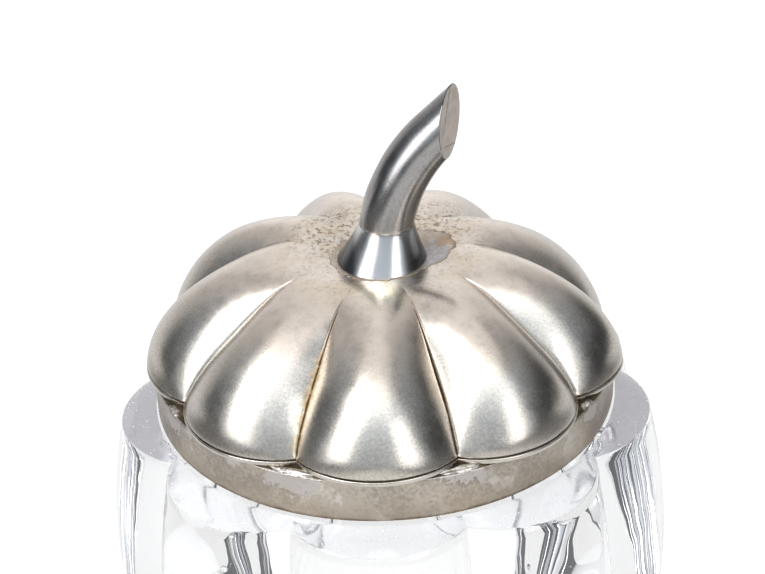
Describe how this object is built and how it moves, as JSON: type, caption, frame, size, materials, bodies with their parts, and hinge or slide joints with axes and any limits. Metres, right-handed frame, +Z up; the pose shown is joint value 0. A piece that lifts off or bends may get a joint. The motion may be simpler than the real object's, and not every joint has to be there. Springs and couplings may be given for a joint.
{
  "type": "lidded crystal jar",
  "caption": "Melon-shaped crystal jar with a lift-off silver lid, its lobed dome soldered to a plain band and a bent stalk for a knob.",
  "frame": {"origin": "centre of the jar's flat base", "axes": "+Z up along the jar's axis, -Y towards the front lobe, +X towards the side the stalk bends to"},
  "size_m": [0.067, 0.0662, 0.0816],
  "materials": {
    "crystal": "clear polished crystal with a ground rim",
    "satin_silver": "satin brushed silver, tarnished in the valleys",
    "worn_silver": "coarse satin silver with scuffs and solder smears",
    "polished_silver": "polished silver with fine wear",
    "solder": "rough filed silver solder, browned"
  },
  "bodies": {
    "jar": {"jar_body": "crystal"},
    "lid": {"lid_band": "worn_silver", "lid_rim_plate": "satin_silver", "lid_dome": "satin_silver", "stalk_foot": "polished_silver", "stalk": "polished_silver", "stalk_solder": "solder", "rim_solder_1": "solder", "rim_solder_2": "solder", "rim_solder_3": "solder", "rim_solder_4": "solder", "rim_solder_5": "solder", "rim_solder_6": "solder", "rim_solder_7": "solder", "rim_solder_8": "solder", "rim_solder_9": "solder"}
  },
  "joints": [
    {"name": "lid_lift", "type": "slide", "parent": "jar", "child": "lid", "axis": [0, 0, 1], "range_m": [0, 0.03]}
  ]
}
